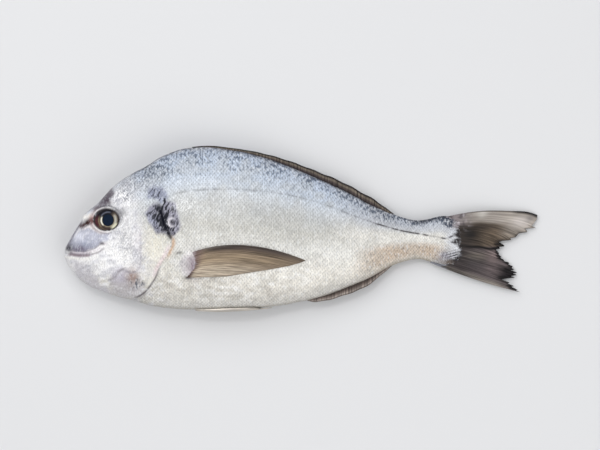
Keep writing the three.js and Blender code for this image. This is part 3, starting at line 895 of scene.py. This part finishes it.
def tail_sheet(u, v):
    root = np.stack([np.full_like(v, TAIL_ROOT_X) - 3 * v, 10.6 - 25.4 * v], axis=1)
    spread = np.stack([1.2 * smooth(0.55, 0.75, v), -0.5 * smooth(0.8, 1, v)], axis=1)
    edge = read_path(TAIL_EDGE, v) + spread
    bend = np.stack([250 - 7 * v, 20.5 - 46.5 * v], axis=1)
    flat = between(root, bend, edge, u)
    x, y = flat.T
    y = y + 1.2 * bump(u - 0.91, 0.14) * (1 - v) ** 6
    z = middle_plane(x) + smooth(230, 262, x) * (0.9 * np.sin(y * 0.16 + 0.6) + 0.25 * grain(x, y, 7, 11))
    return np.stack([x, y, np.maximum(z, 0.75)], axis=1)


TAIL_TIP_STREAK = [(264.5, 15.7), (270, 15.6), (274, 15.0), (277, 14.2), (279.6, 13.0)]
TAIL_CREASE = [(228, -3.2), (231, -3.7), (239, -5.2), (244.9, -5.4), (250.8, -6.4), (256, -6.2)]


def plain_tail(u, v):
    """The pale upper part of the tail fin is less streaked than the rest."""
    x, y, _ = tail_sheet(u, v).T
    return 0.6 * smooth(5, 9, y + 0.12 * (x - 245))


def paint_tail(u, v):
    x, y, _ = tail_sheet(u, v).T
    wx, wy = x + grain(x * 0.4, y, 2.4, 13), y + 0.7 * grain(x * 0.4, y, 2.4, 14)
    colour = coat(len(u), (100, 87, 74))
    colour = lay(colour, smooth(-4.5, -6.5, y), (88, 80, 81))
    colour = lay(colour, smooth(7.5, 10.5, wy), (160, 152, 145))
    colour = lay(colour, smooth(254, 268, wx) * smooth(-4, 3, wy) * 0.85, (162, 152, 140))
    colour = dab(colour, wx, wy, [
        (269.5, 9.6, 1.5, 1.0, 5.5, 0.8, (198, 191, 188)),
        (247, 6.8, 2.2, 0.5, 4.5, 0.8, (62, 54, 50)),
        (239, 2.2, 1.3, 1.0, 6.5, 1, (18, 16, 17)),
        (238, -4, 1.6, 0.6, 5, 0.7, (52, 47, 47)),
        (242.5, -11.2, 2.2, 0.8, 3.6, 0.7, (122, 114, 104)),
        (253.5, -10.8, 1.3, 1.1, 3.6, 0.7, (140, 123, 122)),
        (241, -14.6, 2.3, 1, 4, 0.75, (54, 50, 52)),
        (254, -18.5, 1.5, 1, 3.4, 0.6, (108, 96, 97))])
    colour = lay(colour, smooth(0.9, 0.97, v) * smooth(0.98, 0.7, u) * 0.7, (148, 140, 132))
    colour = dab(colour, wx, wy, [(246.6, 14.2, 1.6, 0.8, 2.0, 0.7, (220, 216, 210))])
    colour = lay(colour, smooth(0.022, 0.0, v) * 0.8, (52, 46, 46))
    border = stem_border(x, y)
    colour = lay(colour, smooth(border + 1.4, border - 2.2, x) * smooth(8, 5, y), (186, 190, 202))
    root_above = smooth(243, 231, x) * smooth(2, 7, y)
    colour = lay(colour, root_above * smooth(5, 9, y) * 0.9, ROOT_ABOVE)
    colour = lay(colour, root_above * smooth(-0.1, 0.5, grain(x * 0.7, y, 1.1, 25)) * 0.7, (58, 52, 58))
    colour = lay(colour, root_above * smooth(0.2, 0.7, grain(x * 0.7, y, 1.0, 26)) * 0.7, (204, 198, 204))
    colour = lay(colour, stem_streaks(x, y), (30, 29, 40))
    colour = lay(colour, bump(beside(x, y, TAIL_CREASE)[0], 0.95), (14, 11, 13))
    tip_streak = bump(beside(x, y, TAIL_TIP_STREAK)[0], 1.2)
    colour = lay(colour, tip_streak * smooth(263, 269, x), (8, 7, 12))
    colour = dab(colour, wx, wy, [(276, 11.6, 1.6, 1, 1.6, 0.5, (110, 108, 114))])
    colour = lay(colour, smooth(244, 233, wx) * smooth(10, 6.5, wy) * 0.6, (46, 41, 40))
    tips = smooth(0.86, 0.96, u + 0.05 * grain(x * 0.3, y, 1.2, 15)) * smooth(0.2, 0.36, v)
    colour = lay(colour, tips * 0.95, (16, 13, 15))
    colour = dab(colour, wx, wy, [(261.5, -21.2, 1.2, 1, 3.4, 0.9, (24, 20, 24))])
    return lay(colour, smooth(0.97, 1.0, u) * smooth(0.08, 0.1, v) * 0.7, (30, 26, 28))


PECTORAL_TIPS = [(0, 142, -13.2), (0.2, 139, -14.4), (0.4, 132, -16.4), (0.6, 121, -18.4),
                 (0.8, 109, -20.2), (1, 96, -22.4)]


def pectoral_sheet(side):
    def sheet(u, v):
        ragged = 0.7 * grain(v * 14, v * 0, 1.6, 27)
        root = np.stack([75.2 + 1.6 * np.sin(np.pi * v) - 3.3 * v + ragged, -8.6 - 14.6 * v], axis=1)
        tips = read_path(PECTORAL_TIPS, v)
        bend = np.stack([104 - 21 * v, 2.6 - 25.4 * v], axis=1)
        x, y = between(root, bend, tips, u).T
        points = on_flank(x, y, side)
        lift = 0.35 + 1.5 * smooth(0, 0.25, u) * smooth(1.05, 0.5, u) + 0.3 * grain(x, y, 9, 12) * u
        lift -= 0.8 * smooth(0.1, 0.0, u)
        points[:, 2] = np.maximum(points[:, 2] + side * lift, 0.6)
        return points
    return sheet


def paint_pectoral(u, v):
    colour = coat(len(u), (152, 134, 112))
    colour = lay(colour, smooth(0.4, 0.85, v) * 0.9, (192, 178, 160))
    colour = lay(colour, smooth(0.34, 0.14, v) * smooth(0.05, 0.3, u) * 0.85, (96, 82, 72))
    colour = lay(colour, smooth(0.2, 0.08, v) * smooth(0.0, 0.25, u) * 0.8, (66, 58, 56))
    colour = lay(colour, smooth(0.07, 0.0, v) * smooth(0.5, 0.1, u) * 0.7, (132, 126, 122))
    # Dark red-brown root, partly the fin's own colour and partly painted shade where it meets the body.
    colour = lay(colour, smooth(0.18, 0.06, u) * 0.85, (112, 92, 90))
    ragged = u + 0.03 * grain(v * 16, u * 20, 1.0, 28)
    colour = lay(colour, smooth(0.08, 0.03, ragged) * 0.6, (182, 173, 180))
    colour = lay(colour, smooth(0.16, 0.05, u) * smooth(0.7, 0.95, v) * 0.8, (84, 64, 62))
    return lay(colour, smooth(0.8, 1.0, u) * 0.6, (120, 106, 92))


def pelvic_sheet(side):
    def sheet(u, v):
        x = 80 + 42 * u - 3 * v
        swell = 0.4 + 0.6 * np.sin(np.pi * np.clip(u * 0.75 + 0.1, 0, 1))
        width = 8.5 * swell * smooth(1.02, 0.8, u) + 0.3
        turn = -np.pi / 2 + 0.03 * width * v
        points = hull(x, np.where(side > 0, turn, np.pi - turn))
        out = points - np.stack([x, np.full_like(x, -20), middle_plane(x)], axis=1)
        out /= np.linalg.norm(out, axis=1)[:, None]
        points += out * (0.15 + 0.5 * smooth(0, 0.3, u) * smooth(1.1, 0.6, u))[:, None]
        points[:, 2] = np.maximum(points[:, 2], 0.6)
        return points
    return sheet


def paint_pelvic(u, v):
    colour = coat(len(u), (212, 205, 196))
    return lay(colour, smooth(0.4, 1.0, u) * 0.5, (180, 172, 160))


# Where the fins on the back and the belly start, and how far their edges stand out at places along them.
DORSAL_START = 75
ANAL_START = 143
DORSAL_RISE = [(0, 0.1), (10, 0.4), (28, 0.9), (45, 2.0), (80, 4.0), (97, 4.7), (106, 4.5), (113, 2.9),
               (119.5, 0.3)]
ANAL_RISE = [(0, 0.1), (5, 2.0), (18, 3.5), (32, 4.2), (44, 2.2), (50, 0.2)]


def folded_sheet(start, rise, edge, outward):
    """A fin folded along the back or the belly, as a low strip in the middle plane with a wavy edge.
    Its root lies inside the body."""
    height = curve(rise)
    length = rise[-1][0]
    depth = 3.2

    def sheet(u, v):
        x = start + length * v
        tall = height(length * v) * (1 + 0.05 * np.sin(v * length * 0.55))
        y = edge(x) + outward * (-depth + (depth + tall) * u)
        z = middle_plane(x) + 0.5 * u * np.sin(x * 0.12)
        return np.stack([x, y, z], axis=1)

    return sheet


def paint_dorsal(u, v):
    colour = coat(len(u), (74, 64, 62))
    colour = lay(colour, smooth(0.84, 0.95, u), (20, 16, 16))
    colour = lay(colour, smooth(0.62, 0.46, u) * 0.85, (38, 33, 35))
    return lay(colour, bump(u - 0.76, 0.07) * 0.6, (132, 124, 108))


def paint_anal(u, v):
    colour = coat(len(u), (116, 104, 98))
    colour = lay(colour, smooth(0.72, 0.55, u) * 0.85, (64, 54, 50))
    colour = lay(colour, bump(u - 0.84, 0.05) * 0.6, (180, 173, 166))
    return lay(colour, smooth(0.92, 1.0, u) * 0.8, (70, 62, 58))


def add_fins():
    add_fin("tail_fin", 150, 190, tail_sheet,
            lambda u, v: 1.15 - 0.87 * np.sqrt(u), paint_tail, 20, plain_tail)
    dorsal = folded_sheet(DORSAL_START, DORSAL_RISE, back_line, 1)
    add_fin("dorsal_fin", 14, 420, dorsal, lambda u, v: 1.1 - 0.75 * u, paint_dorsal, 34)
    anal = folded_sheet(ANAL_START, ANAL_RISE, belly_line, -1)
    add_fin("anal_fin", 14, 180, anal, lambda u, v: 1.1 - 0.75 * u, paint_anal, 16)
    for word, side in (("left", 1), ("right", -1)):
        add_fin(f"{word}_pectoral_fin", 160, 80, pectoral_sheet(side),
                lambda u, v: 0.55 - 0.35 * u, paint_pectoral, 14)
        add_fin(f"{word}_pelvic_fin", 70, 30, pelvic_sheet(side),
                lambda u, v: 0.55 - 0.3 * u, paint_pelvic, 6)


# ---- Materials ---------------------------------------------------------------------------------------


class Nodes:
    """Short ways to add nodes to a tree and join them."""

    def __init__(self, tree):
        self.tree = tree

    def put(self, socket, value):
        """Joins a socket to another one, or sets its value."""
        if isinstance(value, bpy.types.NodeSocket):
            self.tree.links.new(value, socket)
        else:
            socket.default_value = value

    def add(self, kind, inputs=None, **settings):
        node = self.tree.nodes.new(kind)
        for key, value in settings.items():
            setattr(node, key, value)
        for key, value in (inputs or {}).items():
            self.put(node.inputs[key], value)
        return node

    def math(self, operation, a, b=0.0, clamp=False):
        node = self.add("ShaderNodeMath", {0: a, 1: b}, operation=operation, use_clamp=clamp)
        return node.outputs[0]

    def plus(self, a, b):
        return self.math("ADD", a, b)

    def minus(self, a, b, clamp=False):
        return self.math("SUBTRACT", a, b, clamp)

    def times(self, a, b, clamp=False):
        return self.math("MULTIPLY", a, b, clamp)

    def mix(self, share, a, b, blend="MIX"):
        """Mixes two colours. A colour that isn't a socket is given as red, green and blue."""
        node = self.add("ShaderNodeMix", {0: share}, data_type="RGBA", blend_type=blend)
        for key, colour in ((6, a), (7, b)):
            self.put(node.inputs[key], colour if isinstance(colour, bpy.types.NodeSocket) else (*colour, 1))
        return node.outputs[2]

    def shaded(self, colour, shade):
        """A colour made lighter or darker by a number."""
        grey = self.add("ShaderNodeCombineColor", {0: shade, 1: shade, 2: shade}).outputs[0]
        return self.mix(1.0, colour, grey, "MULTIPLY")

    def attribute(self, name, output="Fac"):
        return self.add("ShaderNodeAttribute", attribute_name=name).outputs[output]

    def stretched(self, vector, *scale):
        return self.add("ShaderNodeMapping", {"Vector": vector, "Scale": scale}).outputs[0]

    def noise(self, vector, scale=1.0, detail=3.0, **inputs):
        inputs = {"Vector": vector, "Scale": scale, "Detail": detail, **inputs}
        return self.add("ShaderNodeTexNoise", inputs).outputs[0]


def new_group(name, inputs, outputs):
    """An empty shader node group with its sockets, and the nodes that hold them."""
    tree = bpy.data.node_groups.new(name, "ShaderNodeTree")
    for in_out, sockets in (("INPUT", inputs), ("OUTPUT", outputs)):
        for label, kind in sockets:
            tree.interface.new_socket(label, in_out=in_out, socket_type=kind)
    return tree, Nodes(tree), tree.nodes.new("NodeGroupInput"), tree.nodes.new("NodeGroupOutput")


def scale_rows_group():
    """Overlapping scales. Height rises to each scale's rounded rear edge, Rim is the dark line just behind
    it, partly the scale's own dark edge and partly painted shadow cast by the edge, and Tone is a chance
    value for each scale."""
    tree, n, source, sink = new_group(
        "overlapping_scales",
        [("Places", "NodeSocketVector")],
        [("Height", "NodeSocketFloat"), ("Rim", "NodeSocketFloat"), ("Tone", "NodeSocketFloat")])
    split = n.add("ShaderNodeSeparateXYZ", {0: source.outputs["Places"]})
    gaps, names = [], []
    for shift in (0.0, 0.5):
        a = n.minus(split.outputs[0], shift)
        b = n.minus(split.outputs[1], shift)
        middle = n.math("ROUND", b)
        across = n.minus(b, middle)
        edge = n.math("SQRT", n.minus(SCALE_REACH**2, n.times(across, across)))
        row = n.math("CEIL", n.minus(a, edge))
        gaps.append(n.minus(n.plus(row, edge), a))
        names.append(n.add("ShaderNodeCombineXYZ", {0: row, 1: middle, 2: shift}).outputs[0])
    nearer = n.math("LESS_THAN", gaps[0], gaps[1])
    gap = n.math("MINIMUM", gaps[0], gaps[1])
    name = n.add("ShaderNodeMix", {0: nearer, 4: names[1], 5: names[0]}, data_type="VECTOR").outputs[1]
    tone = n.add("ShaderNodeTexWhiteNoise", {0: name}, noise_dimensions="3D").outputs["Value"]
    n.put(sink.inputs["Height"], n.minus(1.0, n.math("DIVIDE", gap, 0.7), clamp=True))
    n.put(sink.inputs["Rim"], n.math("DIVIDE", n.minus(gap, 0.34), 0.22, clamp=True))
    n.put(sink.inputs["Tone"], tone)
    return tree


def fleck_group():
    """Small uneven flecks: Mask is 1 in a fleck. Amount goes from none at 0 to nearly all at 1."""
    tree, n, source, sink = new_group(
        "flecks",
        [("Vector", "NodeSocketVector"), ("Size", "NodeSocketFloat"), ("Amount", "NodeSocketFloat")],
        [("Mask", "NodeSocketFloat")])
    noise = n.noise(source.outputs["Vector"], source.outputs["Size"], 2.0, Roughness=0.6)
    floor = n.minus(0.72, n.times(source.outputs["Amount"], 0.34))
    n.put(sink.inputs["Mask"], n.times(n.minus(noise, floor), 9.0, clamp=True))
    return tree


SCALES = scale_rows_group()
FLECKS = fleck_group()


def new_finish(name):
    material = bpy.data.materials.new(name)
    material.use_nodes = True
    nodes = Nodes(material.node_tree)
    return material, nodes, material.node_tree.nodes["Principled BSDF"]


def join(nodes, shader, **sockets):
    """Joins or sets the shader's sockets: Base_Color stands for Base Color."""
    for key, value in sockets.items():
        nodes.put(shader.inputs[key.replace("_", " ")], value)


def flecks(nodes, vector, size, amount):
    inputs = {"Vector": vector, "Size": size, "Amount": amount}
    return nodes.add("ShaderNodeGroup", inputs, node_tree=FLECKS).outputs[0]


def skin_finish():
    """Wet silver skin: painted colours under scales whose rims carry some painted shadow, dark flecks, pale
    flecks painted as glints, fine creases darkened with painted shade, the blotch's dark strokes and a
    clear film of slime."""
    material, n, shader = new_finish("wet_silver_skin")
    paint = n.attribute("paint", "Color")
    scaled = n.attribute("scaled")
    speckled = n.attribute("speckled")
    bruised = n.attribute("bruised")
    creased = n.attribute("creased")
    places = n.add("ShaderNodeUVMap", uv_map="scales").outputs[0]
    spot = n.add("ShaderNodeTexCoord").outputs["Object"]
    scales = n.add("ShaderNodeGroup", {"Places": places}, node_tree=SCALES)
    upright = n.stretched(places, 1.25, 0.72, 1.0)
    dark = flecks(n, upright, 1.3, speckled)
    pale = flecks(n, upright, 1.15, 0.5)
    turn = n.add("ShaderNodeVectorRotate", {"Vector": spot, "Angle": 0.42}, rotation_type="Z_AXIS")
    lean = turn.outputs[0]
    strokes = n.noise(n.stretched(lean, 820.0, 250.0, 320.0), detail=2.0, Distortion=0.6)
    folds = n.noise(n.stretched(lean, 620.0, 330.0, 380.0), detail=2.0, Distortion=1.2)
    soft = n.noise(spot, 90.0)
    fine = n.noise(upright, 2.6, 2.0)

    # Dark scale rims: partly the scales' own dark edges, partly painted shadow that each edge casts on the
    # next scale.
    rim = n.times(scales.outputs["Rim"], scaled)
    rim_edge_and_shadow = n.times(rim, n.plus(0.4, n.times(speckled, 0.35)))
    colour = n.mix(rim_edge_and_shadow, paint, (0.3, 0.31, 0.33), "MULTIPLY")
    chance = n.minus(scales.outputs["Tone"], 0.5)
    tone = n.plus(1.0, n.times(chance, n.times(scaled, 0.2)))
    tone = n.times(tone, n.plus(0.88, n.times(soft, 0.24)))
    tone = n.times(tone, n.plus(0.55, n.times(fine, 0.95)))
    colour = n.shaded(colour, tone)
    fleck = n.times(dark, n.times(speckled, 1.1, clamp=True))
    colour = n.mix(fleck, colour, (0.17, 0.2, 0.25), "MULTIPLY")
    # Painted highlights: pale flecks stand in for glints on the wet skin, thicker where it is speckled.
    glint = n.times(pale, n.plus(0.24, n.times(speckled, 0.3)))
    colour = n.mix(glint, colour, tint(240, 244, 250))
    # Fine creases: painted shade darkens each crease line, which is also pressed into the bump below.
    away = n.math("ABSOLUTE", n.minus(folds, 0.5))
    crease = n.times(n.minus(1.0, n.times(away, 13.0), clamp=True), creased)
    colour = n.mix(n.times(crease, 0.9), colour, (0.3, 0.31, 0.36), "MULTIPLY")
    floor = n.minus(0.66, n.times(bruised, 0.27))
    stroke = n.times(n.minus(strokes, floor), 11.0, clamp=True)
    bruise = n.times(stroke, n.times(bruised, 1.25, clamp=True))
    colour = n.mix(n.times(bruise, 0.97), colour, tint(9, 12, 26))

    lift = n.times(scales.outputs["Height"], n.times(scaled, 0.8))
    height = n.minus(n.plus(lift, n.times(fine, 0.9)), crease)
    surface = n.add("ShaderNodeBump", {"Strength": 0.6, "Distance": 0.0003, "Height": height})
    rough = n.plus(0.28, n.times(soft, 0.14))
    join(n, shader, Base_Color=colour, Roughness=rough, Normal=surface.outputs[0], Metallic=0.1,
         Specular_IOR_Level=0.07, Coat_Weight=0.16, Coat_Roughness=0.09)
    return material


def fin_finish():
    """Fin membrane between darker rays, with fine streaks along them."""
    material, n, shader = new_finish("fin_membrane")
    paint = n.attribute("paint", "Color")
    ray = n.attribute("ray")
    rays = n.add("ShaderNodeUVMap", uv_map="rays").outputs[0]
    streak = n.noise(n.stretched(rays, 0.4, 2.1, 1.0), Roughness=0.6)
    hair = n.noise(n.stretched(rays, 1.2, 4.0, 1.0), Roughness=0.6)
    shade = n.minus(n.times(streak, 3.3), 1.3)
    shade = n.plus(shade, n.times(hair, 1.1))
    shade = n.math("MINIMUM", n.math("MAXIMUM", shade, 0.28), 1.5)
    plain = n.attribute("plain")
    shade = n.plus(shade, n.times(plain, n.minus(0.95, shade)))
    shade = n.times(shade, n.plus(0.88, n.times(ray, 0.2)))
    colour = n.shaded(paint, shade)
    surface = n.add("ShaderNodeBump", {"Strength": 0.5, "Distance": 0.0004, "Height": hair})
    join(n, shader, Base_Color=colour, Normal=surface.outputs[0], Roughness=0.5,
         Specular_IOR_Level=0.12, Coat_Weight=0.08, Coat_Roughness=0.2)
    return material


def eye_finish():
    """The painted eye with fine streaks, under a clear wet surface."""
    material, n, shader = new_finish("wet_eye")
    paint = n.attribute("paint", "Color")
    spot = n.add("ShaderNodeTexCoord").outputs["Object"]
    shade = n.plus(0.55, n.times(n.noise(spot, 1100.0), 0.9))
    join(n, shader, Base_Color=n.shaded(paint, shade), Roughness=0.3,
         Specular_IOR_Level=0.03, Coat_Weight=0.07, Coat_Roughness=0.05)
    return material


def floor_finish():
    material, n, shader = new_finish("pale_floor")
    join(n, shader, Base_Color=(0.71, 0.715, 0.73, 1), Roughness=0.7)
    return material


# ---- Floor, light and camera ---------------------------------------------------------------------------


def add_floor():
    deselect()
    bpy.ops.mesh.primitive_plane_add(size=6, location=(0, 0, -0.0002))
    floor = bpy.context.object
    floor.name = "floor"
    floor.data.materials.append(floor_finish())


def add_light(name, place, size, power):
    deselect()
    bpy.ops.object.light_add(type="AREA", location=place)
    light = bpy.context.object
    light.name = name
    light.data.size = size
    light.data.energy = power
    aim = math.atan2(math.hypot(place[0], place[1]), place[2])
    light.rotation_euler = (aim, 0, math.atan2(place[1], place[0]) + math.pi / 2)
    light.visible_camera = False


def add_studio():
    add_light("key_softbox", (-0.5, 0.6, 1.3), 1.6, 14)
    add_light("fill_softbox", (0.7, -0.7, 1.1), 1.6, 9)
    add_light("glint_light", (-0.35, 0.45, 1.5), 0.16, 2.2)
    world = bpy.data.worlds.new("studio")
    bpy.context.scene.world = world
    world.use_nodes = True
    world.node_tree.nodes["Background"].inputs["Color"].default_value = (1, 1, 1, 1)
    world.node_tree.nodes["Background"].inputs["Strength"].default_value = 0.42
    bpy.context.scene.view_settings.view_transform = "Standard"


def add_camera():
    """Straight down on the fish, from far enough that its outline is nearly the plan."""
    distance, view_width = 2.0, 0.354
    deselect()
    bpy.ops.object.camera_add(location=(-1.2 * MM, 1.5 * MM, distance), rotation=(0, 0, 0))
    camera = bpy.context.object
    camera.data.sensor_width = 36
    camera.data.lens = 36 * (distance - float(middle_plane(100)) * MM) / view_width
    bpy.context.scene.camera = camera


add_floor()
add_studio()
add_camera()
add_skin()
add_eye("left_eye", 1)
add_eye("right_eye", -1)
add_fins()
